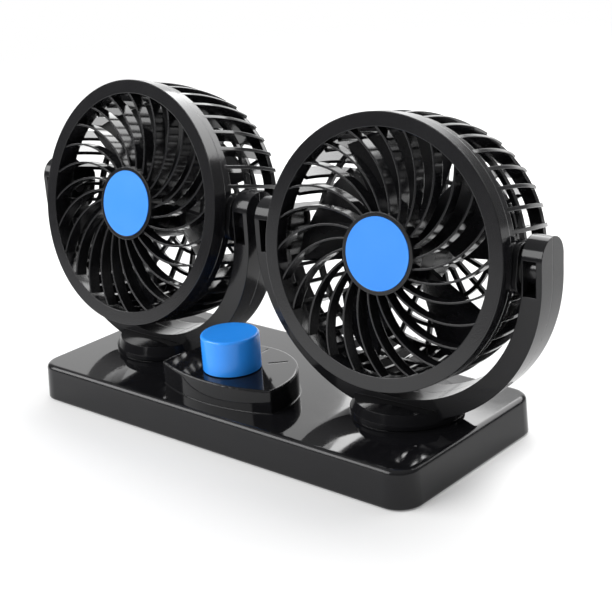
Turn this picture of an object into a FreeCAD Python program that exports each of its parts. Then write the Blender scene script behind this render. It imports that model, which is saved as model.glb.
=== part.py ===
import FreeCAD, Part
import math
import operator
import os
from types import SimpleNamespace

import Sketcher
from FreeCAD import Placement, Rotation, Vector

# Driving dimensions of a twin-head dashboard fan, in millimetres and degrees.
# +X runs along the base, -Y is the side that the air leaves by, +Z is up,
# and the origin is the middle of the pad that sticks to the dashboard.
DIMENSIONS = {
    # clearances
    "running_gap": 0.25,
    "running_fit": 0.06,
    "seat_gap": 0.15,
    "screw_fit": 0.05,
    # base
    "base_length": 222.0,
    "base_depth": 98.5,
    "base_height": 17.3,
    "base_corner": 11.0,
    "base_draft": 3.0,
    "base_edge": 2.4,
    "base_wall": 2.2,
    "plate_thickness": 2.2,
    "pad_length": 150.0,
    "pad_depth": 60.0,
    "pad_corner": 6.0,
    "pad_proud": 0.6,
    "pad_recess": 0.7,
    "plate_screw_inset": 15.0,
    "plate_screw_length": 9.0,
    "boss_radius": 4.0,
    # cord inlet at the rear
    "cord_radius": 2.2,
    "cord_height": 8.4,
    "grommet_wall": 1.9,
    "grommet_flange": 1.4,
    "grommet_flange_thickness": 1.5,
    # console and speed knob
    "knob_x": -5.5,
    "knob_y": -21.0,
    "console_height": 11.0,
    "console_y": -26.6,
    "console_radius": 33.5,
    "console_front": 13.0,
    "console_front_radius": 82.0,
    "console_edge": 0.9,
    "mark_start": 16.3,
    "mark_end": 25.1,
    "mark_width": 0.9,
    "mark_depth": 0.4,
    "mark_angle": 47.0,
    "mark_step": 45.0,
    "knob_radius": 13.3,
    "knob_height": 16.4,
    "knob_wall": 2.2,
    "knob_cap": 3.0,
    "knob_edge": 1.2,
    "knob_boss_radius": 5.6,
    "spindle_radius": 3.0,
    "spindle_height": 12.0,
    "bushing_radius": 4.6,
    "nut_height": 2.4,
    "nut_radius": 7.5,
    "switch_side": 17.0,
    "switch_depth": 11.0,
    "lug_width": 3.0,
    "lug_length": 4.0,
    # swivels
    "swivel_x": 73.4,
    "swivel_y": 4.0,
    "spigot_radius": 14.0,
    "collar_radius": 24.4,
    "collar_height": 0.4,
    "lip_radius": 24.8,
    "lip_height": 2.0,
    "neck_radius": 24.3,
    "neck_top_radius": 22.6,
    "neck_height": 6.2,
    "wire_bore": 5.0,
    "washer_thickness": 1.0,
    "retainer_radius": 19.0,
    "retainer_thickness": 2.4,
    "retainer_screw_offset": 9.6,
    "retainer_screw_length": 9.0,
    # yokes
    "yoke_inner_radius": 60.9,
    "yoke_thickness": 8.9,
    "yoke_depth": 18.6,
    "yoke_wall": 2.0,
    "yoke_centre_height": 87.1,
    "tilt_height": 90.65,
    "arm_rise": 13.8,
    "window_width": 5.7,
    "window_below": 8.8,
    "window_above": 5.8,
    "window_lip": 0.7,
    "yoke_screw_angle": 27.0,
    "yoke_screw_spread": 40.0,
    "yoke_screw_length": 12.0,
    "left_swivel": -0.65,
    "left_tilt": 13.2,
    "right_swivel": 3.7,
    "right_tilt": 9.9,
    # tilt pivots
    "axis_drop": 0.8,
    "barrel_radius": 6.3,
    "barrel_length": 5.2,
    "tilt_washer_width": 1.8,
    "tilt_washer_thickness": 0.9,
    "ear_height": 21.0,
    "ear_depth": 20.0,
    "ear_corner": 6.0,
    "ear_inner": 54.0,
    "pivot_screw_length": 9.0,
    # front grille
    "face_ahead": 17.55,
    "ring_radius": 57.5,
    "ring_width": 6.2,
    "ring_depth": 7.0,
    "ring_skirt": 2.2,
    "ring_lip": 1.6,
    "vane_count": 24,
    "vane_thickness": 0.9,
    "vane_depth": 6.0,
    "vane_recess": 0.7,
    "vane_sweep": 36.0,
    "vane_curve": 38.0,
    "hub_radius": 17.1,
    "hub_proud": 0.4,
    "badge_radius": 15.3,
    "badge_thickness": 1.8,
    "badge_proud": 0.25,
    # rear basket
    "band_step": 0.5,
    "band_groove": 0.5,
    "band_width": 4.0,
    "band_wall": 2.2,
    "band_lip": 4.9,
    "rib_count": 40,
    "rib_turn": 3.0,
    "rib_thickness": 1.7,
    "rib_depth": 6.2,
    "rib_curve": 110.0,
    "head_depth": 49.5,
    "rear_radius": 52.0,
    "hoop_width": 2.6,
    "hoop_inset": 0.7,
    "middle_hoop": 29.5,
    "middle_hoop_width": 2.4,
    "spoke_count": 20,
    "spoke_width": 1.8,
    "spoke_depth": 2.2,
    "inner_ring": 26.0,
    "outer_ring": 37.5,
    "guard_ring_width": 1.8,
    # motor
    "motor_radius": 12.0,
    "motor_length": 21.0,
    "motor_wall": 1.0,
    "motor_plate_thickness": 2.6,
    "motor_cup_wall": 1.8,
    "motor_cup_length": 14.0,
    "end_cap_thickness": 3.0,
    "magnet_thickness": 2.4,
    "air_gap": 0.5,
    "armature_length": 10.0,
    "shaft_radius": 1.0,
    "bush_radius": 3.0,
    "bush_length": 3.0,
    "motor_screw_offset": 7.0,
    "motor_screw_length": 5.5,
    # rotor
    "blade_count": 5,
    "blade_tip": 48.0,
    "blade_thickness": 1.8,
    "blade_centre": 5.0,
    "blade_root_chord": 25.0,
    "blade_root_pitch": 44.5,
    "blade_tip_chord": 51.5,
    "blade_tip_pitch": 29.5,
    "rotor_hub_radius": 16.5,
    "rotor_hub_wall": 1.8,
    "rotor_hub_front": 10.05,
    "rotor_hub_length": 25.0,
    "rotor_boss_radius": 3.8,
    "left_rotor_turn": 45.5,
    "right_rotor_turn": 23.9,
    # screws
    "screw_radius": 1.4,
    "screw_head_radius": 2.8,
    "screw_head_height": 1.8,
}

SIDES = {"left": -1, "right": 1}
SIGNS = (-1, 1)

doc = FreeCAD.newDocument("dashboard_fan")
sheet = doc.addObject("Spreadsheet::Sheet", "sizes")
for row, (alias, number) in enumerate(DIMENSIONS.items(), start=1):
    sheet.set(f"A{row}", alias)
    sheet.set(f"B{row}", str(number))
    sheet.setAlias(f"B{row}", alias)
doc.recompute()


class Size:
    """A number together with the formula that ties it to the sheet."""

    def __init__(self, value, formula):
        self.value = value
        self.formula = formula

    def __add__(self, other):
        return combine(self, other, "+")

    def __radd__(self, other):
        return combine(other, self, "+")

    def __sub__(self, other):
        return combine(self, other, "-")

    def __rsub__(self, other):
        return combine(other, self, "-")

    def __mul__(self, other):
        return combine(self, other, "*")

    def __rmul__(self, other):
        return combine(other, self, "*")

    def __truediv__(self, other):
        return combine(self, other, "/")

    def __neg__(self):
        return combine(0, self, "-")


OPERATIONS = {"+": operator.add, "-": operator.sub, "*": operator.mul, "/": operator.truediv}


def as_size(number):
    return number if isinstance(number, Size) else Size(float(number), repr(float(number)))


def combine(first, second, sign):
    first = as_size(first)
    second = as_size(second)
    return Size(OPERATIONS[sign](first.value, second.value), f"({first.formula} {sign} {second.formula})")


def sine(angle):
    return Size(math.sin(math.radians(angle.value)), f"sin({angle.formula} * 1 deg)")


def cosine(angle):
    return Size(math.cos(math.radians(angle.value)), f"cos({angle.formula} * 1 deg)")


def root(size):
    return Size(math.sqrt(size.value), f"sqrt({size.formula})")


def tangent(angle):
    return sine(angle) / cosine(angle)


dim = SimpleNamespace(**{alias: Size(float(sheet.get(alias)), f"sizes.{alias}") for alias in DIMENSIONS})


def bind(item, **sizes):
    """Tie properties of a document object to the sheet."""
    for name, size in sizes.items():
        item.setExpression(name, as_size(size).formula)
    return item


def new_body(label):
    item = doc.addObject("PartDesign::Body", label)
    item.Label = label
    return item


def origin_feature(item, role):
    return next(feature for feature in item.Origin.OriginFeatures if feature.Role == role)


def new_sketch(item, role, offset=0):
    """A drawing on one of the body's own planes, moved along the plane's normal by offset."""
    drawing = item.newObject("Sketcher::SketchObject", f"{item.Name}_outline")
    drawing.AttachmentSupport = [(origin_feature(item, role), "")]
    drawing.MapMode = "FlatFace"
    drawing.setExpression("AttachmentOffset.Base.z", as_size(offset).formula)
    return drawing


def turn_sketch(drawing, axis, angle):
    """Turn a drawing about one of its own axes."""
    drawing.AttachmentOffset = Placement(drawing.AttachmentOffset.Base, Rotation(axis, angle.value))
    drawing.setExpression("AttachmentOffset.Rotation.Angle", angle.formula)


def tie(drawing, constraint, size):
    index = drawing.addConstraint(constraint)
    drawing.setExpression(f"Constraints[{index}]", size.formula)


def pin(drawing, geometry, point, x, y):
    """Tie a point of a drawing to the origin by its two coordinates; a bare 0 puts it on an axis."""
    for kind, size, axis in (("DistanceX", x, -2), ("DistanceY", y, -1)):
        if not isinstance(size, Size):
            drawing.addConstraint(Sketcher.Constraint("PointOnObject", geometry, point, axis))
        else:
            tie(drawing, Sketcher.Constraint(kind, -1, 1, geometry, point, size.value), size)


def add_circle(drawing, radius, x=0, y=0):
    centre = Vector(as_size(x).value, as_size(y).value, 0)
    index = drawing.addGeometry(Part.Circle(centre, Vector(0, 0, 1), radius.value))
    tie(drawing, Sketcher.Constraint("Radius", index, radius.value), radius)
    pin(drawing, index, 3, x, y)


def add_path(drawing, corners):
    """A closed outline. A corner is (x, y), or (x, y, centre x, centre y, turn) where an arc follows."""
    first = len(drawing.Geometry)
    spots = [Vector(as_size(corner[0]).value, as_size(corner[1]).value, 0) for corner in corners]
    ends = []
    for index, corner in enumerate(corners):
        start = spots[index]
        stop = spots[(index + 1) % len(spots)]
        if len(corner) == 2:
            drawing.addGeometry(Part.LineSegment(start, stop))
            ends.append((1, 2))
            continue
        centre = Vector(as_size(corner[2]).value, as_size(corner[3]).value, 0)
        counter_clockwise = corner[4] > 0
        begin, finish = (start, stop) if counter_clockwise else (stop, start)
        angles = [math.atan2(spot.y - centre.y, spot.x - centre.x) for spot in (begin, finish)]
        if angles[1] <= angles[0]:
            angles[1] += 2 * math.pi
        full = Part.Circle(centre, Vector(0, 0, 1), (begin - centre).Length)
        drawing.addGeometry(Part.ArcOfCircle(full, *angles))
        ends.append((1, 2) if counter_clockwise else (2, 1))
    for index, corner in enumerate(corners):
        following = (index + 1) % len(corners)
        drawing.addConstraint(Sketcher.Constraint(
            "Coincident", first + index, ends[index][1], first + following, ends[following][0]))
    for index, corner in enumerate(corners):
        pin(drawing, first + index, ends[index][0], corner[0], corner[1])
    for index, corner in enumerate(corners):
        if len(corner) > 2:
            chord = spots[(index + 1) % len(spots)] - spots[index]
            kind, size, axis = ("DistanceX", corner[2], -2) if abs(chord.y) > abs(chord.x) else (
                "DistanceY", corner[3], -1)
            if not isinstance(size, Size):
                drawing.addConstraint(Sketcher.Constraint("PointOnObject", first + index, 3, axis))
            else:
                tie(drawing, Sketcher.Constraint(kind, -1, 1, first + index, 3, size.value), size)


def add_rounded_box(drawing, length, width, radius, x=0, y=0):
    left = x - length / 2
    right = x + length / 2
    low = y - width / 2
    high = y + width / 2
    add_path(drawing, [
        (left + radius, low),
        (right - radius, low, right - radius, low + radius, 1),
        (right, low + radius),
        (right, high - radius, right - radius, high - radius, 1),
        (right - radius, high),
        (left + radius, high, left + radius, high - radius, 1),
        (left, high - radius),
        (left, low + radius, left + radius, low + radius, 1),
    ])


def extrude(item, kind, drawing, length, reverse=False, both_ways=False, draft=None):
    """A pad or pocket. A pocket goes against the drawing's normal unless it is reversed."""
    feature = item.newObject(f"PartDesign::{kind}", f"{item.Name}_{kind.lower()}")
    feature.Profile = drawing
    feature.Reversed = reverse
    if both_ways:
        feature.SideType = "Symmetric"
    bind(feature, Length=length)
    if draft is not None:
        bind(feature, TaperAngle=draft)
    return feature


def revolve(item, drawing, axis="V_Axis"):
    feature = item.newObject("PartDesign::Revolution", f"{item.Name}_turned")
    feature.Profile = drawing
    feature.ReferenceAxis = (drawing, [axis])
    feature.Angle = 360
    return feature


def repeat_round(item, features, axis, count):
    """Copies of a feature, evenly round one of the body's own axes."""
    pattern = item.newObject("PartDesign::PolarPattern", f"{item.Name}_round")
    pattern.Originals = features
    pattern.Axis = (origin_feature(item, axis), [""])
    pattern.Angle = 360
    bind(pattern, Occurrences=count)
    item.Tip = pattern
    return pattern


def round_edges(item, feature, radius, chosen):
    """Fillet the edges of the body whose two box corners pass the test."""
    doc.recompute()
    names = [f"Edge{index}" for index, edge in enumerate(feature.Shape.Edges, start=1)
             if chosen(edge.BoundBox)]
    fillet = item.newObject("PartDesign::Fillet", f"{item.Name}_rounded")
    fillet.Base = (feature, names)
    bind(fillet, Radius=radius)
    return fillet


def at_height(height):
    """A test for level edges at one height."""
    return lambda box: abs(box.ZMin - height.value) < 1e-4 and abs(box.ZMax - height.value) < 1e-4


def turned(label, role, outline, axis="V_Axis"):
    """A solid of revolution from an outline on one of the body's own planes."""
    item = new_body(label)
    drawing = new_sketch(item, role)
    add_path(drawing, outline)
    revolve(item, drawing, axis)
    return item


def tube_outline(inner, outer, low, high):
    return [(inner, low), (outer, low), (outer, high), (inner, high)]


def rod_outline(radius, low, high):
    return tube_outline(0, radius, low, high)


# Plain solids for tools and fasteners
ALONG_Y = Rotation(Vector(1, 0, 0), -90)


def cylinder(name, radius, length, spot, rotation=Rotation()):
    item = doc.addObject("Part::Cylinder", name)
    bind(item, Radius=radius, Height=length)
    item.Placement = Placement(Vector(*(as_size(value).value for value in spot)), rotation)
    return item


def block(name, length, width, height, spot):
    item = doc.addObject("Part::Box", name)
    bind(item, Length=length, Width=width, Height=height)
    item.Placement = Placement(Vector(*(as_size(value).value for value in spot)), Rotation())
    return item


def cut(label, solid, tool):
    item = doc.addObject("Part::Cut", label)
    item.Base = solid
    item.Tool = tool
    item.Label = label
    return item


def fuse(name, pieces):
    item = doc.addObject("Part::MultiFuse", name)
    item.Shapes = pieces
    return item


def common(name, first, second):
    item = doc.addObject("Part::Common", name)
    item.Base = first
    item.Tool = second
    return item


def group(label, pieces):
    """Several loose solids that share one node."""
    item = doc.addObject("Part::Compound", label)
    item.Links = pieces
    item.Label = label
    return item


def screw(name, length, spot, rotation=Rotation()):
    """A pan-head screw: the head's underside is at spot, and the shank runs along local +Z."""
    head = cylinder(f"{name}_head", dim.screw_head_radius, dim.screw_head_height,
                    (0, 0, -dim.screw_head_height))
    shank = cylinder(f"{name}_shank", dim.screw_radius, length, (0, 0, 0))
    whole = fuse(name, [head, shank])
    whole.Placement = Placement(Vector(*(as_size(value).value for value in spot)), rotation)
    return whole


# Heights and shared places
plate_top = dim.pad_proud + dim.plate_thickness
ceiling = dim.base_height - dim.base_wall
console_top = dim.base_height + dim.console_height
collar_top = dim.base_height + dim.collar_height
lip_bottom = collar_top + dim.running_gap
lip_top = lip_bottom + dim.lip_height
neck_top = lip_bottom + dim.neck_height
spigot_bottom = ceiling - dim.washer_thickness - dim.running_gap
yoke_outer_radius = dim.yoke_inner_radius + dim.yoke_thickness
arm_top = dim.tilt_height + dim.arm_rise
screw_hole = dim.screw_radius + dim.screw_fit
head_hole = dim.screw_head_radius + dim.seat_gap
cavity_inset = dim.base_wall + (dim.base_height - dim.pad_proud) * tangent(dim.base_draft)
cavity_length = dim.base_length - 2 * cavity_inset
cavity_depth = dim.base_depth - 2 * cavity_inset
cavity_corner = dim.base_corner - dim.base_wall
plate_screw_spots = [(across * (dim.base_length / 2 - dim.plate_screw_inset),
                      deep * (dim.base_depth / 2 - dim.plate_screw_inset))
                     for across in (-1, 1) for deep in (-1, 1)]
grommet_radius = dim.cord_radius + dim.grommet_wall


def add_console_outline(drawing, inset):
    """A round turret, cut off in front by a gentle arc."""
    turret = dim.console_radius - inset
    front = dim.console_front_radius - inset
    between = dim.console_front_radius - dim.console_front
    corner_y = (front * front - turret * turret - between * between) / (2 * between)
    corner_x = root(turret * turret - corner_y * corner_y)
    middle_x = dim.knob_x
    middle_y = dim.console_y
    front_y = middle_y - corner_y
    add_path(drawing, [
        (middle_x + corner_x, front_y, middle_x, middle_y, 1),
        (middle_x - corner_x, front_y, middle_x, middle_y + between, 1),
    ])


def add_inlet_outline(drawing, radius, bottom):
    """An arch open towards the bottom edge, for the cord's inlet."""
    add_path(drawing, [
        (-radius, bottom),
        (radius, bottom),
        (radius, dim.cord_height, 0, dim.cord_height, 1),
        (-radius, dim.cord_height),
    ])


def add_mark_outline(drawing, angle):
    """One engraved mark on the console, pointing away from the knob."""
    along = (cosine(angle), sine(angle))
    half = dim.mark_width / 2
    add_path(drawing, [
        (dim.knob_x + reach * along[0] - side * along[1], dim.knob_y + reach * along[1] + side * along[0])
        for reach, side in ((dim.mark_start, half), (dim.mark_start, -half), (dim.mark_end, -half),
                            (dim.mark_end, half))
    ])


def make_base_shell():
    item = new_body("base_shell")
    drawing = new_sketch(item, "XY_Plane", dim.pad_proud)
    add_rounded_box(drawing, dim.base_length, dim.base_depth, dim.base_corner)
    tray = extrude(item, "Pad", drawing, dim.base_height - dim.pad_proud, draft=-dim.base_draft)
    round_edges(item, tray, dim.base_edge, at_height(dim.base_height))

    drawing = new_sketch(item, "XY_Plane", ceiling)
    add_console_outline(drawing, as_size(0))
    turret = extrude(item, "Pad", drawing, dim.base_wall + dim.console_height)
    round_edges(item, turret, dim.console_edge, at_height(console_top))

    drawing = new_sketch(item, "XY_Plane", ceiling)
    for sign in SIGNS:
        add_circle(drawing, dim.collar_radius, sign * dim.swivel_x, dim.swivel_y)
    extrude(item, "Pad", drawing, dim.base_wall + dim.collar_height)

    drawing = new_sketch(item, "XY_Plane", dim.pad_proud)
    add_rounded_box(drawing, cavity_length, cavity_depth, cavity_corner)
    extrude(item, "Pocket", drawing, ceiling - dim.pad_proud, reverse=True)

    drawing = new_sketch(item, "XY_Plane", ceiling)
    add_console_outline(drawing, dim.base_wall)
    extrude(item, "Pocket", drawing, dim.console_height, reverse=True)

    drawing = new_sketch(item, "XY_Plane", console_top)
    add_circle(drawing, dim.bushing_radius + dim.seat_gap, dim.knob_x, dim.knob_y)
    extrude(item, "Pocket", drawing, 2 * dim.base_wall)

    drawing = new_sketch(item, "XY_Plane", collar_top)
    for sign in SIGNS:
        add_circle(drawing, dim.spigot_radius + dim.running_fit, sign * dim.swivel_x, dim.swivel_y)
    extrude(item, "Pocket", drawing, dim.collar_height + 2 * dim.base_wall)

    drawing = new_sketch(item, "XY_Plane", plate_top)
    for x, y in plate_screw_spots:
        add_circle(drawing, dim.boss_radius, x, y)
    extrude(item, "Pad", drawing, ceiling - plate_top + dim.base_wall / 2)

    drawing = new_sketch(item, "XY_Plane", plate_top)
    for x, y in plate_screw_spots:
        add_circle(drawing, screw_hole, x, y)
    extrude(item, "Pocket", drawing, dim.plate_screw_length, reverse=True)

    drawing = new_sketch(item, "XZ_Plane", -dim.base_depth / 2)
    add_inlet_outline(drawing, grommet_radius, dim.pad_proud)
    extrude(item, "Pocket", drawing, 2 * cavity_inset, both_ways=True)

    drawing = new_sketch(item, "XY_Plane", console_top)
    for place in range(3):
        add_mark_outline(drawing, dim.mark_angle + place * dim.mark_step)
    extrude(item, "Pocket", drawing, dim.mark_depth)
    return item


def make_base_plate():
    item = new_body("base_plate")
    drawing = new_sketch(item, "XY_Plane", dim.pad_proud)
    add_rounded_box(drawing, cavity_length - 2 * dim.seat_gap, cavity_depth - 2 * dim.seat_gap,
                    cavity_corner - dim.seat_gap)
    extrude(item, "Pad", drawing, dim.plate_thickness)

    drawing = new_sketch(item, "XY_Plane", dim.pad_proud)
    add_rounded_box(drawing, dim.pad_length + 2 * dim.seat_gap, dim.pad_depth + 2 * dim.seat_gap,
                    dim.pad_corner + dim.seat_gap)
    extrude(item, "Pocket", drawing, dim.pad_recess, reverse=True)

    drawing = new_sketch(item, "XY_Plane", dim.pad_proud)
    for x, y in plate_screw_spots:
        add_circle(drawing, screw_hole, x, y)
    extrude(item, "Pocket", drawing, dim.plate_thickness, reverse=True)

    drawing = new_sketch(item, "XY_Plane", dim.pad_proud)
    for x, y in plate_screw_spots:
        add_circle(drawing, head_hole, x, y)
    extrude(item, "Pocket", drawing, dim.plate_thickness / 2, reverse=True)
    return item


def make_mounting_pad():
    item = new_body("mounting_pad")
    drawing = new_sketch(item, "XY_Plane")
    add_rounded_box(drawing, dim.pad_length, dim.pad_depth, dim.pad_corner)
    extrude(item, "Pad", drawing, dim.pad_proud + dim.pad_recess)
    return item


def make_plate_screws():
    seat = dim.pad_proud + dim.plate_thickness / 2
    return group("plate_screws", [
        screw(f"plate_screw_{index}", dim.plate_screw_length, (x, y, seat))
        for index, (x, y) in enumerate(plate_screw_spots)
    ])


def make_cord_grommet():
    """A rubber inlet: a body in the rear wall's notch, with a flange on each face of the wall."""
    item = new_body("cord_grommet")
    rear = dim.base_depth / 2
    inside = rear - cavity_inset
    body_radius = grommet_radius - dim.seat_gap
    drawing = new_sketch(item, "XZ_Plane", -(inside - dim.seat_gap))
    add_inlet_outline(drawing, body_radius, dim.pad_proud)
    extrude(item, "Pad", drawing, cavity_inset + 2 * dim.seat_gap, reverse=True)
    for start, bottom in ((rear + dim.seat_gap, dim.pad_proud),
                          (inside - dim.seat_gap - dim.grommet_flange_thickness, plate_top + dim.seat_gap)):
        drawing = new_sketch(item, "XZ_Plane", -start)
        add_inlet_outline(drawing, grommet_radius + dim.grommet_flange, bottom)
        extrude(item, "Pad", drawing, dim.grommet_flange_thickness, reverse=True)
    drawing = new_sketch(item, "XZ_Plane", -inside)
    add_circle(drawing, dim.cord_radius, 0, dim.cord_height)
    extrude(item, "Pocket", drawing, 4 * (cavity_inset + dim.grommet_flange_thickness), both_ways=True)
    return item


nut_bottom = console_top
nut_top = nut_bottom + dim.nut_height
bushing_top = nut_top + dim.running_gap
knob_bottom = console_top + 2 * dim.running_gap
knob_top = knob_bottom + dim.knob_height
spindle_top = bushing_top + dim.spindle_height
switch_top = console_top - dim.base_wall
switch_bottom = switch_top - dim.switch_depth


def make_rotary_switch():
    item = new_body("rotary_switch")
    drawing = new_sketch(item, "XY_Plane", switch_bottom)
    add_rounded_box(drawing, dim.switch_side, dim.switch_side, dim.switch_side / 8, dim.knob_x, dim.knob_y)
    extrude(item, "Pad", drawing, dim.switch_depth)
    drawing = new_sketch(item, "XY_Plane", switch_top - dim.base_wall)
    add_circle(drawing, dim.bushing_radius, dim.knob_x, dim.knob_y)
    extrude(item, "Pad", drawing, bushing_top - switch_top + dim.base_wall)
    drawing = new_sketch(item, "XY_Plane", switch_bottom)
    for place in (-1, 0, 1):
        add_rounded_box(drawing, dim.lug_width / 4, dim.lug_width, dim.lug_width / 16,
                        dim.knob_x + place * dim.lug_width * 1.6, dim.knob_y)
    extrude(item, "Pad", drawing, dim.lug_length, reverse=True)
    drawing = new_sketch(item, "XY_Plane", bushing_top)
    add_circle(drawing, dim.spindle_radius + dim.running_fit, dim.knob_x, dim.knob_y)
    extrude(item, "Pocket", drawing, bushing_top - switch_bottom - dim.base_wall)
    return item


def make_switch_nut():
    blank = doc.addObject("Part::Prism", "nut_blank")
    blank.Polygon = 6
    bind(blank, Circumradius=dim.nut_radius, Height=dim.nut_height)
    bore = cylinder("nut_bore", dim.bushing_radius + dim.screw_fit, dim.nut_height, (0, 0, 0))
    nut = cut("switch_nut", blank, bore)
    nut.Placement = Placement(Vector(dim.knob_x.value, dim.knob_y.value, nut_bottom.value), Rotation())
    return nut


def place_on_knob_axis(item):
    item.Placement = Placement(Vector(dim.knob_x.value, dim.knob_y.value, 0), Rotation())
    return item


def make_switch_spindle():
    low = switch_bottom + dim.base_wall + dim.running_gap
    item = turned("switch_spindle", "XZ_Plane", rod_outline(dim.spindle_radius, low, spindle_top))
    return place_on_knob_axis(item)


def make_control_knob():
    wall = dim.knob_radius - dim.knob_wall
    under_cap = knob_top - dim.knob_cap
    bore = dim.spindle_radius + dim.screw_fit
    boss_bottom = bushing_top + dim.running_gap
    item = turned("control_knob", "XZ_Plane", [
        (0, knob_top),
        (0, spindle_top + dim.seat_gap),
        (bore, spindle_top + dim.seat_gap),
        (bore, boss_bottom),
        (dim.knob_boss_radius, boss_bottom),
        (dim.knob_boss_radius, under_cap),
        (wall, under_cap),
        (wall, knob_bottom),
        (dim.knob_radius, knob_bottom),
        (dim.knob_radius, knob_top),
    ])
    round_edges(item, item.Tip, dim.knob_edge, at_height(knob_top))
    return place_on_knob_axis(item)


def copy_at(label, piece, place):
    """A node of its own that repeats a shared piece at one place."""
    item = group(label, [piece])
    item.Placement = place
    return item


def swivel_place(side):
    swivel = getattr(dim, f"{side}_swivel").value
    spot = Vector(SIDES[side] * dim.swivel_x.value, dim.swivel_y.value, 0)
    return Placement(spot, Rotation(Vector(0, 0, 1), swivel))


def head_place(side):
    """From the frame of a fan's own axis to its place in the yoke, tilted as it stands."""
    tilt = getattr(dim, f"{side}_tilt").value
    lift = Placement(Vector(0, 0, dim.tilt_height.value), Rotation(Vector(1, 0, 0), -tilt))
    drop = Placement(Vector(0, 0, -dim.axis_drop.value), Rotation())
    return swivel_place(side) * lift * drop


def pivot_place(side):
    return head_place(side) * Placement(Vector(0, 0, dim.axis_drop.value), Rotation())


def rotor_place(side):
    """The turning parts, at the angle about the fan's axis where the blades stand still."""
    turn = getattr(dim, f"{side}_rotor_turn").value
    return head_place(side) * Placement(Vector(), Rotation(Vector(0, -1, 0), turn))


# Yokes: two half shells that meet at mid depth, with the neck and spigot under them
yoke_middle_radius = dim.yoke_inner_radius + dim.yoke_thickness / 2
barrel_end = dim.yoke_inner_radius + dim.barrel_length
yoke_screw_spots = []
for sign in SIGNS:
    for angle in (dim.yoke_screw_angle, dim.yoke_screw_angle + dim.yoke_screw_spread):
        yoke_screw_spots.append((sign * yoke_middle_radius * sine(angle),
                                 dim.yoke_centre_height - yoke_middle_radius * cosine(angle)))
yoke_screw_seat = dim.yoke_depth / 2 - dim.screw_head_height - dim.seat_gap


def make_yoke_blank():
    item = new_body("yoke_blank")
    outer = yoke_outer_radius
    inner = dim.yoke_inner_radius
    middle = dim.yoke_centre_height
    drawing = new_sketch(item, "XZ_Plane")
    add_path(drawing, [
        (-outer, arm_top),
        (-outer, middle, 0, middle, 1),
        (outer, middle),
        (outer, arm_top),
        (inner, arm_top),
        (inner, middle, 0, middle, -1),
        (-inner, middle),
        (-inner, arm_top),
    ])
    arch = extrude(item, "Pad", drawing, dim.yoke_depth, both_ways=True)
    half_depth = dim.yoke_depth.value / 2
    on_top = at_height(arm_top)
    round_edges(item, arch, dim.yoke_depth * 0.49, lambda box: on_top(box) and box.YLength < 1e-4
                and abs(abs(box.YMin) - half_depth) < 1e-4)

    drawing = new_sketch(item, "XY_Plane", lip_bottom)
    add_circle(drawing, dim.yoke_inner_radius)
    extrude(item, "Pocket", drawing, dim.yoke_thickness)

    drawing = new_sketch(item, "XZ_Plane")
    add_path(drawing, [
        (0, spigot_bottom),
        (dim.spigot_radius, spigot_bottom),
        (dim.spigot_radius, lip_bottom),
        (dim.lip_radius, lip_bottom),
        (dim.lip_radius, lip_top),
        (dim.neck_radius, lip_top),
        (dim.neck_top_radius, neck_top),
        (0, neck_top),
    ])
    revolve(item, drawing)
    return item


def make_yoke():
    """The front and rear half of a yoke, hollow along the arch, with the tilt pivots' seats."""
    blank = make_yoke_blank()
    half = dim.yoke_depth / 2
    inside = half - dim.yoke_wall
    far = yoke_outer_radius * 2
    hollow_outer = cylinder("hollow_outer", yoke_outer_radius - dim.yoke_wall, 2 * inside,
                            (0, -inside, dim.yoke_centre_height), ALONG_Y)
    hollow_inner = cylinder("hollow_inner", dim.yoke_inner_radius + dim.yoke_wall, 2 * inside,
                            (0, -inside, dim.yoke_centre_height), ALONG_Y)
    window_bottom = dim.tilt_height - dim.window_below
    above = block("above_hollow", 2 * far, 2 * far, far, (-far, -far, window_bottom - dim.yoke_wall))
    pillars = [cylinder(f"pillar_{index}", dim.screw_head_radius + dim.yoke_wall / 2, 2 * inside,
                        (x, -inside, z), ALONG_Y) for index, (x, z) in enumerate(yoke_screw_spots)]
    hollow = cut("hollow", cut("hollow_ring", hollow_outer, hollow_inner),
                 fuse("hollow_limits", [above] + pillars))

    bore_radius = dim.barrel_radius + dim.running_fit
    bores = [cylinder(f"pivot_bore_{index}", bore_radius, barrel_end + dim.running_gap,
                      (0, 0, dim.tilt_height), Rotation(Vector(0, 1, 0), sign * 90))
             for index, sign in enumerate(SIGNS)]
    wire_top = dim.yoke_centre_height - yoke_middle_radius
    wires = cylinder("wire_bore", dim.wire_bore, wire_top - spigot_bottom, (0, 0, spigot_bottom))
    shanks = [cylinder(f"yoke_shank_{index}", screw_hole, dim.yoke_screw_length + dim.seat_gap,
                       (x, yoke_screw_seat - dim.yoke_screw_length - dim.seat_gap, z), ALONG_Y)
              for index, (x, z) in enumerate(yoke_screw_spots)]
    heads = [cylinder(f"yoke_head_{index}", head_hole, dim.yoke_depth, (x, yoke_screw_seat, z), ALONG_Y)
             for index, (x, z) in enumerate(yoke_screw_spots)]
    pilots = [cylinder(f"retainer_pilot_{index}", screw_hole, dim.retainer_screw_length,
                       (0, sign * dim.retainer_screw_offset, spigot_bottom))
              for index, sign in enumerate(SIGNS)]
    window_height = dim.window_below + dim.window_above
    window_middle = dim.yoke_inner_radius + dim.window_lip + dim.window_width / 2
    windows = [block(f"window_{index}", dim.window_width, half, window_height,
                     (sign * window_middle - dim.window_width / 2, -half, window_bottom))
               for index, sign in enumerate(SIGNS)]
    shared = [hollow, wires] + bores + shanks + pilots
    halves = []
    for label, start, extra in (("yoke_front", -far, windows), ("yoke_rear", as_size(0), heads)):
        space = block(f"{label}_space", 2 * far, far, 2 * far, (-far, start, 0))
        piece = cut(label, common(f"{label}_blank", blank, space), fuse(f"{label}_cuts", shared + extra))
        halves.append(piece)
    return halves


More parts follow.
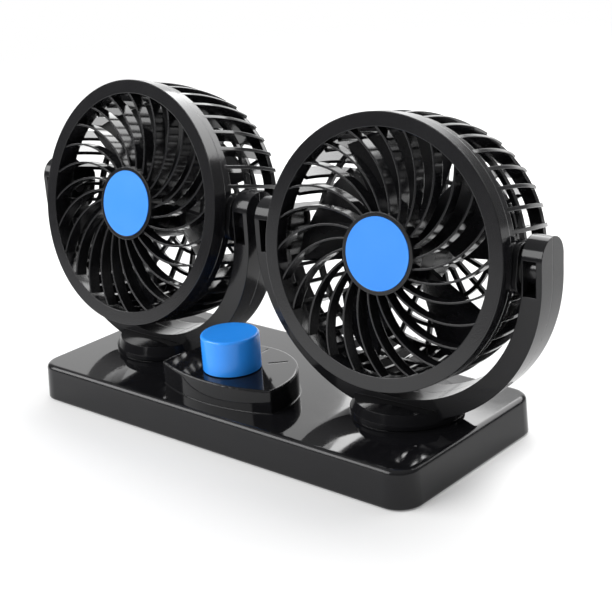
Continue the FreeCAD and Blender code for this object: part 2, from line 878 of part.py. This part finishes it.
def make_yoke_screws():
    turn = Rotation(Vector(1, 0, 0), 90)
    return group("yoke_screws", [
        screw(f"yoke_screw_{index}", dim.yoke_screw_length, (x, yoke_screw_seat, z), turn)
        for index, (x, z) in enumerate(yoke_screw_spots)
    ])


def make_swivel_washer():
    return turned("swivel_washer", "XZ_Plane", tube_outline(
        dim.spigot_radius + dim.seat_gap, dim.retainer_radius, ceiling - dim.washer_thickness, ceiling))


def make_swivel_retainer():
    """The disc that is screwed under the spigot and keeps the yoke from lifting out."""
    low = spigot_bottom - dim.retainer_thickness
    disc = turned("retainer_disc", "XZ_Plane", tube_outline(
        dim.wire_bore, dim.retainer_radius, low, spigot_bottom))
    holes = fuse("retainer_holes", [
        cylinder(f"retainer_hole_{index}", screw_hole, 2 * dim.retainer_thickness,
                 (0, sign * dim.retainer_screw_offset, low - dim.retainer_thickness / 2))
        for index, sign in enumerate(SIGNS)
    ])
    return cut("swivel_retainer", disc, holes)


def make_retainer_screws():
    low = spigot_bottom - dim.retainer_thickness
    return group("retainer_screws", [
        screw(f"retainer_screw_{index}", dim.retainer_screw_length,
              (0, sign * dim.retainer_screw_offset, low)) for index, sign in enumerate(SIGNS)
    ])


# Heads: outlines are (radius, distance behind the tilt axis), turned about the fan's axis
face = -dim.face_ahead
ring_inner = dim.ring_radius - dim.ring_width
ring_rear = face + dim.ring_depth
skirt_inner = dim.ring_radius - dim.ring_skirt
band_radius = dim.ring_radius - dim.band_step
band_front = ring_rear + dim.band_groove
band_rear = band_front + dim.band_width
basket_rear = face + dim.head_depth
hub_front = face - dim.hub_proud
hub_rear = face + dim.vane_recess + dim.vane_depth
guard_front = basket_rear - dim.spoke_depth
motor_rear = basket_rear - dim.motor_plate_thickness
motor_front = motor_rear - dim.motor_length
ear_outer = dim.yoke_inner_radius - dim.tilt_washer_thickness - 2 * dim.running_gap


def arc_centre(start, stop, radius):
    """The centre, left of the way from start to stop, of the arc that joins them."""
    across = (stop[0] - start[0], stop[1] - start[1])
    span = root(across[0] * across[0] + across[1] * across[1])
    rise = root(radius * radius - span * span / 4)
    return ((start[0] + stop[0]) / 2 - across[1] * rise / span,
            (start[1] + stop[1]) / 2 + across[0] * rise / span)


def make_grille():
    item = new_body("front_grille")
    drawing = new_sketch(item, "XY_Plane")
    flange_rear = face + dim.ring_skirt
    add_path(drawing, [
        (ring_inner, face),
        (dim.ring_radius, face),
        (dim.ring_radius, ring_rear),
        (skirt_inner, ring_rear),
        (skirt_inner, flange_rear),
        (ring_inner + dim.ring_lip, flange_rear),
        (ring_inner + dim.ring_lip, hub_rear),
        (ring_inner, hub_rear),
    ])
    revolve(item, drawing)

    drawing = new_sketch(item, "XZ_Plane", -(face + dim.vane_recess))
    start = (dim.hub_radius - dim.ring_lip / 2, as_size(0))
    reach = ring_inner + dim.ring_lip / 2
    stop = (reach * cosine(dim.vane_sweep), reach * sine(dim.vane_sweep))
    centre = arc_centre(start, stop, dim.vane_curve)
    thicker = 1 + dim.vane_thickness / (2 * dim.vane_curve)
    thinner = 1 - dim.vane_thickness / (2 * dim.vane_curve)
    corners = [tuple(middle + (end - middle) * share for end, middle in zip(spot, centre))
               for spot, share in ((start, thicker), (stop, thicker), (stop, thinner), (start, thinner))]
    add_path(drawing, [
        corners[0] + centre + (1,),
        corners[1],
        corners[2] + centre + (-1,),
        corners[3],
    ])
    vane = extrude(item, "Pad", drawing, dim.vane_depth, reverse=True)
    repeat_round(item, [vane], "Y_Axis", dim.vane_count)

    drawing = new_sketch(item, "XY_Plane")
    add_path(drawing, [
        (0, hub_front + dim.badge_thickness),
        (dim.badge_radius + dim.seat_gap, hub_front + dim.badge_thickness),
        (dim.badge_radius + dim.seat_gap, hub_front),
        (dim.hub_radius, hub_front),
        (dim.hub_radius, hub_rear),
        (0, hub_rear),
    ])
    revolve(item, drawing)
    return item


def make_hub_badge():
    front = hub_front - dim.badge_proud
    return turned("hub_badge", "XY_Plane",
                  rod_outline(dim.badge_radius, front, hub_front + dim.badge_thickness))


def make_basket():
    item = new_body("rear_basket")
    lip_outer = skirt_inner - dim.seat_gap
    drawing = new_sketch(item, "XY_Plane")
    add_path(drawing, [
        (lip_outer - dim.band_wall, band_front - dim.band_lip),
        (lip_outer, band_front - dim.band_lip),
        (lip_outer, band_front),
        (band_radius, band_front),
        (band_radius, band_rear),
        (lip_outer - dim.band_wall, band_rear),
    ])
    revolve(item, drawing)

    drawing = new_sketch(item, "XY_Plane")
    turn_sketch(drawing, Vector(0, 1, 0), dim.rib_turn)
    rib_front = (band_radius, band_rear - dim.band_width / 2)
    rib_rear = (dim.rear_radius, basket_rear)
    centre = arc_centre(rib_front, rib_rear, dim.rib_curve)
    add_path(drawing, [
        rib_front + centre + (1,),
        rib_rear,
        (dim.rear_radius - dim.rib_depth, basket_rear, centre[0] - dim.rib_depth, centre[1], -1),
        (band_radius - dim.rib_depth, rib_front[1]),
    ])
    rib = extrude(item, "Pad", drawing, dim.rib_thickness, both_ways=True)
    repeat_round(item, [rib], "Y_Axis", dim.rib_count)

    hoop_outer = dim.rear_radius - dim.hoop_inset
    hoop_inner = dim.rear_radius - dim.rib_depth
    hoop_rear = basket_rear - dim.hoop_inset
    middle_front = face + dim.middle_hoop - dim.middle_hoop_width / 2
    lag = face + dim.middle_hoop - centre[1]
    rib_inside = centre[0] - dim.rib_depth + root(dim.rib_curve * dim.rib_curve - lag * lag)
    drawing = new_sketch(item, "XY_Plane")
    add_path(drawing, tube_outline(hoop_inner, hoop_outer, hoop_rear - dim.hoop_width, hoop_rear))
    add_path(drawing, tube_outline(rib_inside - dim.rib_thickness / 4, rib_inside + dim.rib_thickness,
                                   middle_front, middle_front + dim.middle_hoop_width))
    revolve(item, drawing)

    drawing = new_sketch(item, "XZ_Plane", -basket_rear)
    turn_sketch(drawing, Vector(0, 0, -1), dim.rib_turn)
    plate_radius = dim.motor_radius + dim.seat_gap + dim.motor_cup_wall
    half_width = dim.spoke_width / 2
    add_path(drawing, [
        (plate_radius - dim.spoke_width, -half_width),
        (hoop_inner + dim.spoke_width, -half_width),
        (hoop_inner + dim.spoke_width, half_width),
        (plate_radius - dim.spoke_width, half_width),
    ])
    spoke = extrude(item, "Pad", drawing, dim.spoke_depth)
    repeat_round(item, [spoke], "Y_Axis", dim.spoke_count)

    drawing = new_sketch(item, "XY_Plane")
    cup_inner = dim.motor_radius + dim.seat_gap
    add_path(drawing, [
        (0, basket_rear),
        (0, motor_rear),
        (cup_inner, motor_rear),
        (cup_inner, motor_rear - dim.motor_cup_length),
        (plate_radius, motor_rear - dim.motor_cup_length),
        (plate_radius, basket_rear),
    ])
    for radius in (dim.inner_ring, dim.outer_ring):
        add_path(drawing, tube_outline(radius - dim.guard_ring_width / 2, radius + dim.guard_ring_width / 2,
                                       guard_front, basket_rear))
    revolve(item, drawing)

    for sign in SIGNS:
        drawing = new_sketch(item, "YZ_Plane", sign * dim.ear_inner)
        add_rounded_box(drawing, dim.ear_depth, dim.ear_height, dim.ear_corner, 0, dim.axis_drop)
        extrude(item, "Pad", drawing, ear_outer - dim.ear_inner, reverse=sign < 0)
    for sign in SIGNS:
        for radius, depth in ((screw_hole, ear_outer - dim.ear_inner), (head_hole, dim.screw_head_height)):
            drawing = new_sketch(item, "YZ_Plane", sign * dim.ear_inner)
            add_circle(drawing, radius, 0, dim.axis_drop)
            extrude(item, "Pocket", drawing, depth, reverse=sign > 0)

    drawing = new_sketch(item, "XZ_Plane", -basket_rear)
    for sign in SIGNS:
        add_circle(drawing, screw_hole, sign * dim.motor_screw_offset, 0)
    extrude(item, "Pocket", drawing, dim.motor_plate_thickness, reverse=True)
    return item


def make_tilt_barrels():
    """The two stub pivots that the arms clamp round, each bored for the screw that holds it."""
    pieces = []
    for index, sign in enumerate(SIGNS):
        outline = [(sign * ear_outer, screw_hole), (sign * barrel_end, screw_hole),
                   (sign * barrel_end, dim.barrel_radius), (sign * ear_outer, dim.barrel_radius)]
        pieces.append(turned(f"tilt_barrel_{index}", "XY_Plane", outline, "H_Axis"))
    return group("tilt_barrels", pieces)


def make_tilt_washers():
    pieces = []
    inner = dim.barrel_radius + dim.seat_gap
    outer = inner + dim.tilt_washer_width
    for index, sign in enumerate(SIGNS):
        outline = [(sign * ear_outer, inner), (sign * (ear_outer + dim.tilt_washer_thickness), inner),
                   (sign * (ear_outer + dim.tilt_washer_thickness), outer), (sign * ear_outer, outer)]
        pieces.append(turned(f"tilt_washer_{index}", "XY_Plane", outline, "H_Axis"))
    return group("tilt_washers", pieces)


def make_pivot_screws():
    seat = dim.ear_inner + dim.screw_head_height
    return group("pivot_screws", [
        screw(f"pivot_screw_{index}", dim.pivot_screw_length, (sign * seat, 0, 0),
              Rotation(Vector(0, 1, 0), sign * 90)) for index, sign in enumerate(SIGNS)
    ])


# Motor: a steel can with two magnets, a bush at each end and an armature on the shaft
can_inner = dim.motor_radius - dim.motor_wall
cap_front = motor_rear - dim.end_cap_thickness
bush_front = motor_front - dim.bush_length / 2
magnet_inner = can_inner - dim.magnet_thickness
armature_radius = magnet_inner - dim.air_gap
armature_front = (motor_front + cap_front) / 2 - dim.armature_length / 2
rotor_front = -dim.rotor_hub_front
rotor_rear = rotor_front + dim.rotor_hub_length
shaft_front = rotor_front + dim.rotor_hub_wall
shaft_rear = motor_rear - dim.running_gap


def make_motor_can():
    return turned("motor_can", "XY_Plane", [
        (dim.bush_radius + dim.screw_fit, motor_front),
        (dim.motor_radius, motor_front),
        (dim.motor_radius, cap_front),
        (can_inner, cap_front),
        (can_inner, motor_front + dim.motor_wall),
        (dim.bush_radius + dim.screw_fit, motor_front + dim.motor_wall),
    ])


def make_motor_end_cap():
    cap = turned("end_cap_blank", "XY_Plane", tube_outline(
        dim.shaft_radius + dim.running_fit, dim.motor_radius, cap_front, motor_rear))
    holes = fuse("end_cap_holes", [
        cylinder(f"end_cap_hole_{index}", screw_hole, 2 * dim.end_cap_thickness,
                 (sign * dim.motor_screw_offset, cap_front - dim.end_cap_thickness / 2, 0), ALONG_Y)
        for index, sign in enumerate(SIGNS)
    ])
    return cut("motor_end_cap", cap, holes)


def make_motor_magnets():
    """Two arc magnets, made by slitting a ring along the fan's axis."""
    ring = turned("magnet_ring", "XY_Plane", tube_outline(
        magnet_inner, can_inner - dim.screw_fit, motor_front + dim.motor_wall + dim.seat_gap,
        cap_front - dim.seat_gap))
    slit = block("magnet_slit", 4 * can_inner, 2 * dim.motor_length, 2 * dim.magnet_thickness,
                 (-2 * can_inner, motor_front - dim.motor_length / 2, -dim.magnet_thickness))
    return cut("motor_magnets", ring, slit)


def make_motor_bush():
    return turned("motor_bush", "XY_Plane", tube_outline(
        dim.shaft_radius + dim.running_fit, dim.bush_radius, bush_front, bush_front + dim.bush_length))


def make_motor_screws():
    turn = Rotation(Vector(1, 0, 0), 90)
    return group("motor_screws", [
        screw(f"motor_screw_{index}", dim.motor_screw_length,
              (sign * dim.motor_screw_offset, basket_rear, 0), turn) for index, sign in enumerate(SIGNS)
    ])


def make_motor_shaft():
    return turned("motor_shaft", "XY_Plane", rod_outline(dim.shaft_radius, shaft_front, shaft_rear))


def make_armature():
    armature_rear = armature_front + dim.armature_length
    return turned("motor_armature", "XY_Plane", tube_outline(
        dim.shaft_radius + dim.screw_fit, armature_radius, armature_front, armature_rear))


def blade_section(drawing, chord, pitch):
    """A thin slanted section across a blade, in the plane of the axis and the blade's own motion."""
    along = (-sine(pitch) * chord / 2, cosine(pitch) * chord / 2)
    across = (cosine(pitch) * dim.blade_thickness / 2, sine(pitch) * dim.blade_thickness / 2)
    corners = []
    for end, face_side in ((-1, -1), (-1, 1), (1, 1), (1, -1)):
        corners.append((dim.blade_centre + end * along[0] + face_side * across[0],
                        end * along[1] + face_side * across[1]))
    add_path(drawing, corners)


def make_rotor():
    item = new_body("fan_rotor")
    hub_inner = dim.rotor_hub_radius - dim.rotor_hub_wall
    boss_bore = dim.shaft_radius + dim.screw_fit
    boss_rear = bush_front - dim.running_gap
    drawing = new_sketch(item, "XY_Plane")
    add_path(drawing, [
        (0, rotor_front),
        (dim.rotor_hub_radius, rotor_front),
        (dim.rotor_hub_radius, rotor_rear),
        (hub_inner, rotor_rear),
        (hub_inner, shaft_front),
        (dim.rotor_boss_radius, shaft_front),
        (dim.rotor_boss_radius, boss_rear),
        (boss_bore, boss_rear),
        (boss_bore, shaft_front),
        (0, shaft_front),
    ])
    hub = revolve(item, drawing)
    round_edges(item, hub, dim.rotor_hub_wall / 2, lambda box: box.YLength < 1e-4
                and abs(box.YMin - rotor_front.value) < 1e-4)

    inner_end = new_sketch(item, "YZ_Plane", dim.rotor_hub_radius - dim.rotor_hub_wall / 2)
    blade_section(inner_end, dim.blade_root_chord, dim.blade_root_pitch)
    outer_end = new_sketch(item, "YZ_Plane", dim.blade_tip + dim.blade_thickness)
    blade_section(outer_end, dim.blade_tip_chord, dim.blade_tip_pitch)
    blade = item.newObject("PartDesign::AdditiveLoft", "blade")
    blade.Profile = inner_end
    blade.Sections = [outer_end]
    blade.Ruled = True
    repeat_round(item, [blade], "Y_Axis", dim.blade_count)

    drawing = new_sketch(item, "XZ_Plane")
    add_circle(drawing, dim.blade_tip)
    add_circle(drawing, dim.blade_tip * 2)
    extrude(item, "Pocket", drawing, dim.blade_tip * 2, both_ways=True)
    return item


nodes = [
    make_base_shell(),
    make_base_plate(),
    make_mounting_pad(),
    make_plate_screws(),
    make_cord_grommet(),
    make_rotary_switch(),
    make_switch_nut(),
    make_switch_spindle(),
    make_control_knob(),
]
yoke_pieces = make_yoke() + [
    make_yoke_screws(),
    make_swivel_washer(),
    make_swivel_retainer(),
    make_retainer_screws(),
]
fan_pieces = [
    make_grille(),
    make_hub_badge(),
    make_basket(),
    make_motor_can(),
    make_motor_end_cap(),
    make_motor_magnets(),
    make_motor_bush(),
    make_motor_screws(),
]
rotor_pieces = [make_motor_shaft(), make_armature(), make_rotor()]
pivot_pieces = [make_tilt_barrels(), make_tilt_washers(), make_pivot_screws()]
for side in SIDES:
    placed = (
        (yoke_pieces, swivel_place(side)),
        (fan_pieces, head_place(side)),
        (rotor_pieces, rotor_place(side)),
        (pivot_pieces, pivot_place(side)),
    )
    for pieces, place in placed:
        nodes += [copy_at(f"{piece.Label}_{side}", piece, place) for piece in pieces]

doc.recompute()
failed = [item.Label for item in doc.Objects if "Invalid" in item.State or "Error" in item.State]
unsound = [item.Label for item in nodes if item.Shape.isNull() or not item.Shape.isValid()]
if failed or unsound:
    raise RuntimeError(f"failed objects: {failed}; unsound shapes: {unsound}")

os.makedirs("parts", exist_ok=True)
for item in nodes:
    item.Shape.exportStep(f"parts/{item.Label}.step")
    print(item.Label, len(item.Shape.Solids), round(item.Shape.Volume, 1))
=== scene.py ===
import math

import bpy
from mathutils import Matrix, Vector

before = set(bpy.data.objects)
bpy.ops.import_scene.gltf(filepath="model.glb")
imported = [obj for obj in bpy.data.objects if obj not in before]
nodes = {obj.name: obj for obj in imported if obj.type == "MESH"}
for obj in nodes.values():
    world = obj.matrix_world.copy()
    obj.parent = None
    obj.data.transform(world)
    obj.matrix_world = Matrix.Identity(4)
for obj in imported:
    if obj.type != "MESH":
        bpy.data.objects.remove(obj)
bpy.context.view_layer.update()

SIDES = ("left", "right")
SHARP_ANGLE = math.radians(32)


# Procedural materials, with lengths in metres
NOISE_BAND = (0.3, 0.7)
GRAIN_DETAIL = 2.0
GRAIN_STRENGTH = 0.25
ROUNDING_SAMPLES = 6
NECK_HEIGHTS = (0.022, 0.036)
NECK_SHINE, ARM_SHINE = 0.05, 0.3


def new_material(name):
    material = bpy.data.materials.new(name)
    material.use_nodes = True
    shader = material.node_tree.nodes["Principled BSDF"]
    return material, material.node_tree, shader


def add_noise(tree, scale, detail=3.0):
    place = tree.nodes.new("ShaderNodeTexCoord")
    noise = tree.nodes.new("ShaderNodeTexNoise")
    noise.inputs["Scale"].default_value = scale
    noise.inputs["Detail"].default_value = detail
    tree.links.new(place.outputs["Object"], noise.inputs["Vector"])
    return noise.outputs["Fac"]


def add_range(tree, source, low, high):
    spread = tree.nodes.new("ShaderNodeMapRange")
    spread.inputs["From Min"].default_value, spread.inputs["From Max"].default_value = NOISE_BAND
    spread.inputs["To Min"].default_value = low
    spread.inputs["To Max"].default_value = high
    tree.links.new(source, spread.inputs["Value"])
    return spread.outputs["Result"]


def add_tint(tree, source, first, second):
    mix = tree.nodes.new("ShaderNodeMix")
    mix.data_type = "RGBA"
    mix.inputs["A"].default_value = (*first, 1)
    mix.inputs["B"].default_value = (*second, 1)
    tree.links.new(source, mix.inputs["Factor"])
    return mix.outputs["Result"]


def add_bump(tree, source, distance, edge):
    bump = tree.nodes.new("ShaderNodeBump")
    bump.inputs["Strength"].default_value = GRAIN_STRENGTH
    bump.inputs["Distance"].default_value = distance
    tree.links.new(source, bump.inputs["Height"])
    if edge:
        rounding = tree.nodes.new("ShaderNodeBevel")
        rounding.samples = ROUNDING_SAMPLES
        rounding.inputs["Radius"].default_value = edge
        tree.links.new(rounding.outputs["Normal"], bump.inputs["Normal"])
    return bump.outputs["Normal"]


def surface(name, dark, light, rough, grain, blotch=60.0, depth=0.00004, metal=0.0, specular=0.5, edge=0.0):
    """A moulded or plated surface: blotches drive colour and roughness, and a fine grain drives the bump.

    Where an edge radius is given, sharp edges are shaded as round ones.
    """
    material, tree, shader = new_material(name)
    patches = add_noise(tree, blotch)
    tree.links.new(add_tint(tree, patches, dark, light), shader.inputs["Base Color"])
    tree.links.new(add_range(tree, patches, *rough), shader.inputs["Roughness"])
    bumps = add_noise(tree, grain, GRAIN_DETAIL)
    tree.links.new(add_bump(tree, bumps, depth, edge), shader.inputs["Normal"])
    shader.inputs["Metallic"].default_value = metal
    shader.inputs["Specular IOR Level"].default_value = specular
    return material


def fade_down(material, heights, specular):
    """Reflections fade from the higher height to the lower one, as on the yokes' dull necks."""
    tree = material.node_tree
    place = tree.nodes.new("ShaderNodeTexCoord")
    split = tree.nodes.new("ShaderNodeSeparateXYZ")
    tree.links.new(place.outputs["Object"], split.inputs[0])
    level = tree.nodes.new("ShaderNodeMapRange")
    level.inputs["From Min"].default_value, level.inputs["From Max"].default_value = heights
    level.inputs["To Min"].default_value, level.inputs["To Max"].default_value = specular
    tree.links.new(split.outputs["Z"], level.inputs["Value"])
    tree.links.new(level.outputs["Result"], tree.nodes["Principled BSDF"].inputs["Specular IOR Level"])
    return material


MATERIALS = {
    "gloss_black": surface("gloss_black", (0.005, 0.005, 0.006), (0.008, 0.008, 0.009), (0.04, 0.09), 300.0,
                           depth=0.00001, specular=0.31, edge=0.0012),
    "satin_black": surface("satin_black", (0.006, 0.006, 0.007), (0.009, 0.009, 0.010), (0.09, 0.14), 1400.0,
                           specular=0.45, edge=0.0005),
    "yoke_black": fade_down(
        surface("yoke_black", (0.006, 0.006, 0.007), (0.009, 0.009, 0.010), (0.09, 0.14), 1400.0,
                edge=0.0005),
        NECK_HEIGHTS, (NECK_SHINE, ARM_SHINE)),
    "blade_black": surface("blade_black", (0.004, 0.004, 0.005), (0.007, 0.007, 0.008), (0.22, 0.32), 1400.0,
                           specular=0.4),
    "knob_blue": surface("knob_blue", (0.022, 0.275, 0.92), (0.030, 0.305, 0.96), (0.20, 0.28), 1100.0),
    "disc_blue": surface("disc_blue", (0.036, 0.240, 0.80), (0.044, 0.260, 0.84), (0.34, 0.44), 1100.0,
                         specular=0.3),
    "rubber_black": surface("rubber_black", (0.014, 0.014, 0.014), (0.024, 0.024, 0.024), (0.7, 0.9), 900.0),
    "foam_grey": surface("foam_grey", (0.05, 0.05, 0.05), (0.09, 0.09, 0.09), (0.85, 1.0), 700.0,
                         depth=0.0003),
    "steel": surface("steel", (0.42, 0.42, 0.43), (0.56, 0.56, 0.57), (0.22, 0.38), 1600.0, metal=1.0),
    "black_oxide": surface("black_oxide", (0.02, 0.02, 0.022), (0.035, 0.035, 0.037), (0.32, 0.45), 1600.0,
                           metal=0.6),
    "ferrite": surface("ferrite", (0.04, 0.04, 0.044), (0.07, 0.07, 0.074), (0.5, 0.7), 1200.0),
    "brass": surface("brass", (0.55, 0.38, 0.16), (0.68, 0.48, 0.22), (0.3, 0.45), 1200.0, metal=1.0),
    "nylon": surface("nylon", (0.02, 0.02, 0.02), (0.035, 0.035, 0.035), (0.45, 0.6), 900.0),
}
LOOKS = {
    "base_shell": "gloss_black",
    "base_plate": "satin_black",
    "mounting_pad": "foam_grey",
    "plate_screws": "steel",
    "cord_grommet": "rubber_black",
    "rotary_switch": "satin_black",
    "switch_nut": "steel",
    "switch_spindle": "steel",
    "control_knob": "knob_blue",
    "yoke_front": "yoke_black",
    "yoke_rear": "yoke_black",
    "yoke_screws": "black_oxide",
    "swivel_washer": "nylon",
    "swivel_retainer": "satin_black",
    "retainer_screws": "steel",
    "front_grille": "satin_black",
    "hub_badge": "disc_blue",
    "rear_basket": "satin_black",
    "motor_can": "steel",
    "motor_end_cap": "satin_black",
    "motor_magnets": "ferrite",
    "motor_bush": "brass",
    "motor_screws": "black_oxide",
    "motor_shaft": "steel",
    "motor_armature": "ferrite",
    "fan_rotor": "blade_black",
    "tilt_barrels": "satin_black",
    "tilt_washers": "nylon",
    "pivot_screws": "black_oxide",
}


def plain_name(node):
    for side in SIDES:
        node = node.removesuffix(f"_{side}")
    return node


for node, item in nodes.items():
    kind = plain_name(node)
    item.data.materials.clear()
    item.data.materials.append(MATERIALS[LOOKS[kind]])
    for polygon in item.data.polygons:
        polygon.use_smooth = True
    item.data.set_sharp_from_angle(angle=SHARP_ANGLE)


# Floor, world, lights and camera, with lengths in metres and lamp powers in watts
FLOOR_HALF = 12.0
FLOOR_DROP = 0.0002
FLOOR_COLOUR = (0.85, 0.85, 0.85, 1)
FLOOR_WHITE = 0.15
FADE_DISTANCES = (0.4, 1.1)
BACKDROP_WAY = (-0.66, 0.75, 0)
BACKDROP_BAND = (0.75, 0.93)
CEILING_BAND = (0.3, 0.9)
SIDE_LEVEL = 0.25
BACKDROP_LEVEL = 1.9
TOP_LEVEL = 0.55
LAMP_TARGET = (0, 0, 0.08)
KEY_PLACE, KEY_SIZE, KEY_POWER = (-0.66, -0.84, 0.72), (1.32, 0.66), 18.0
BACK_PLACE, BACK_SIZE, BACK_POWER = (0.0, 0.75, 0.85), (1.6, 0.8), 19.0
CAMERA_PLACE = (0.414913, -0.446769, 0.272187)
CAMERA_AZIMUTH, CAMERA_ELEVATION, CAMERA_ROLL = 0.720729, 0.348303, 0.064639
CAMERA_LENS, CAMERA_SENSOR = 83.95, 36.0
CAMERA_CLIP = (0.01, 30.0)


def add_seen(tree):
    """1 for rays that show the background: straight from the camera, mirrored or passed through."""
    path = tree.nodes.new("ShaderNodeLightPath")
    mirrored = tree.nodes.new("ShaderNodeMath")
    mirrored.operation = "MAXIMUM"
    tree.links.new(path.outputs["Is Glossy Ray"], mirrored.inputs[0])
    tree.links.new(path.outputs["Is Transmission Ray"], mirrored.inputs[1])
    seen = tree.nodes.new("ShaderNodeMath")
    seen.operation = "MAXIMUM"
    tree.links.new(path.outputs["Is Camera Ray"], seen.inputs[0])
    tree.links.new(mirrored.outputs[0], seen.inputs[1])
    return seen.outputs[0]


def add_distance_fade(tree):
    """FLOOR_WHITE near the object, growing to 1 well away from it."""
    place = tree.nodes.new("ShaderNodeTexCoord")
    reach = tree.nodes.new("ShaderNodeVectorMath")
    reach.operation = "LENGTH"
    tree.links.new(place.outputs["Object"], reach.inputs[0])
    fade = tree.nodes.new("ShaderNodeMapRange")
    fade.interpolation_type = "SMOOTHSTEP"
    fade.inputs["From Min"].default_value, fade.inputs["From Max"].default_value = FADE_DISTANCES
    fade.inputs["To Min"].default_value = FLOOR_WHITE
    tree.links.new(reach.outputs["Value"], fade.inputs["Value"])
    return fade.outputs["Result"]


def make_floor():
    """A pale sheet with a share of plain white, which grows to all white well away from the shadow."""
    mesh = bpy.data.meshes.new("floor")
    corners = [(x * FLOOR_HALF, y * FLOOR_HALF, 0) for x, y in ((-1, -1), (1, -1), (1, 1), (-1, 1))]
    mesh.from_pydata(corners, [], [range(4)])
    floor = bpy.data.objects.new("floor", mesh)
    bpy.context.scene.collection.objects.link(floor)
    floor.location.z = -FLOOR_DROP
    material, tree, shader = new_material("floor")
    shader.inputs["Base Color"].default_value = FLOOR_COLOUR
    shader.inputs["Roughness"].default_value = 0.6
    shader.inputs["Specular IOR Level"].default_value = 0.1
    white = tree.nodes.new("ShaderNodeEmission")
    share = tree.nodes.new("ShaderNodeMath")
    share.operation = "MULTIPLY"
    tree.links.new(add_seen(tree), share.inputs[0])
    tree.links.new(add_distance_fade(tree), share.inputs[1])
    blend = tree.nodes.new("ShaderNodeMixShader")
    tree.links.new(share.outputs[0], blend.inputs[0])
    tree.links.new(shader.outputs[0], blend.inputs[1])
    tree.links.new(white.outputs[0], blend.inputs[2])
    tree.links.new(blend.outputs[0], tree.nodes["Material Output"].inputs["Surface"])
    mesh.materials.append(material)


def make_world():
    """Soft studio light: a bright backdrop behind the object, dim sides and a pale ceiling."""
    world = bpy.data.worlds.new("studio")
    world.use_nodes = True
    bpy.context.scene.world = world
    tree = world.node_tree
    place = tree.nodes.new("ShaderNodeTexCoord")
    behind = tree.nodes.new("ShaderNodeVectorMath")
    behind.operation = "DOT_PRODUCT"
    behind.inputs[1].default_value = BACKDROP_WAY
    tree.links.new(place.outputs["Generated"], behind.inputs[0])
    level = tree.nodes.new("ShaderNodeMapRange")
    level.interpolation_type = "SMOOTHSTEP"
    level.inputs["From Min"].default_value, level.inputs["From Max"].default_value = BACKDROP_BAND
    level.inputs["To Min"].default_value = SIDE_LEVEL
    level.inputs["To Max"].default_value = BACKDROP_LEVEL
    tree.links.new(behind.outputs["Value"], level.inputs["Value"])
    split = tree.nodes.new("ShaderNodeSeparateXYZ")
    tree.links.new(place.outputs["Generated"], split.inputs[0])
    rise = tree.nodes.new("ShaderNodeMapRange")
    rise.interpolation_type = "SMOOTHSTEP"
    rise.inputs["From Min"].default_value, rise.inputs["From Max"].default_value = CEILING_BAND
    tree.links.new(split.outputs["Z"], rise.inputs["Value"])
    mix = tree.nodes.new("ShaderNodeMix")
    mix.inputs["B"].default_value = TOP_LEVEL
    tree.links.new(rise.outputs["Result"], mix.inputs["Factor"])
    tree.links.new(level.outputs["Result"], mix.inputs["A"])
    background = tree.nodes["Background"]
    background.inputs["Color"].default_value = (1, 1, 1, 1)
    tree.links.new(mix.outputs["Result"], background.inputs["Strength"])


def make_softbox(name, place, size, power):
    """A soft lamp aimed at the object, which mirrors it while the camera doesn't see it."""
    light = bpy.data.lights.new(name, "AREA")
    light.shape = "RECTANGLE"
    light.size, light.size_y = size
    light.energy = power
    item = bpy.data.objects.new(name, light)
    bpy.context.scene.collection.objects.link(item)
    item.location = place
    item.rotation_euler = (Vector(LAMP_TARGET) - Vector(place)).to_track_quat("-Z", "Y").to_euler()
    item.visible_camera = False


def make_camera():
    """The photograph's own viewpoint, found from the base's outline and both rings."""
    level = math.cos(CAMERA_ELEVATION)
    back = Vector((math.sin(CAMERA_AZIMUTH) * level, -math.cos(CAMERA_AZIMUTH) * level,
                   math.sin(CAMERA_ELEVATION)))
    right = (-back).cross(Vector((0, 0, 1))).normalized()
    down = (-back).cross(right)
    turned_right = right * math.cos(CAMERA_ROLL) + down * math.sin(CAMERA_ROLL)
    turned_down = down * math.cos(CAMERA_ROLL) - right * math.sin(CAMERA_ROLL)
    camera = bpy.data.objects.new("camera", bpy.data.cameras.new("camera"))
    bpy.context.scene.collection.objects.link(camera)
    rotation = Matrix((turned_right, -turned_down, back)).transposed()
    camera.matrix_world = Matrix.Translation(CAMERA_PLACE) @ rotation.to_4x4()
    camera.data.sensor_width = CAMERA_SENSOR
    camera.data.lens = CAMERA_LENS
    camera.data.clip_start, camera.data.clip_end = CAMERA_CLIP
    camera.data.dof.use_dof = False
    bpy.context.scene.camera = camera


make_floor()
make_world()
make_softbox("key", KEY_PLACE, KEY_SIZE, KEY_POWER)
make_softbox("back_top", BACK_PLACE, BACK_SIZE, BACK_POWER)
make_camera()
bpy.context.scene.view_settings.view_transform = "Standard"
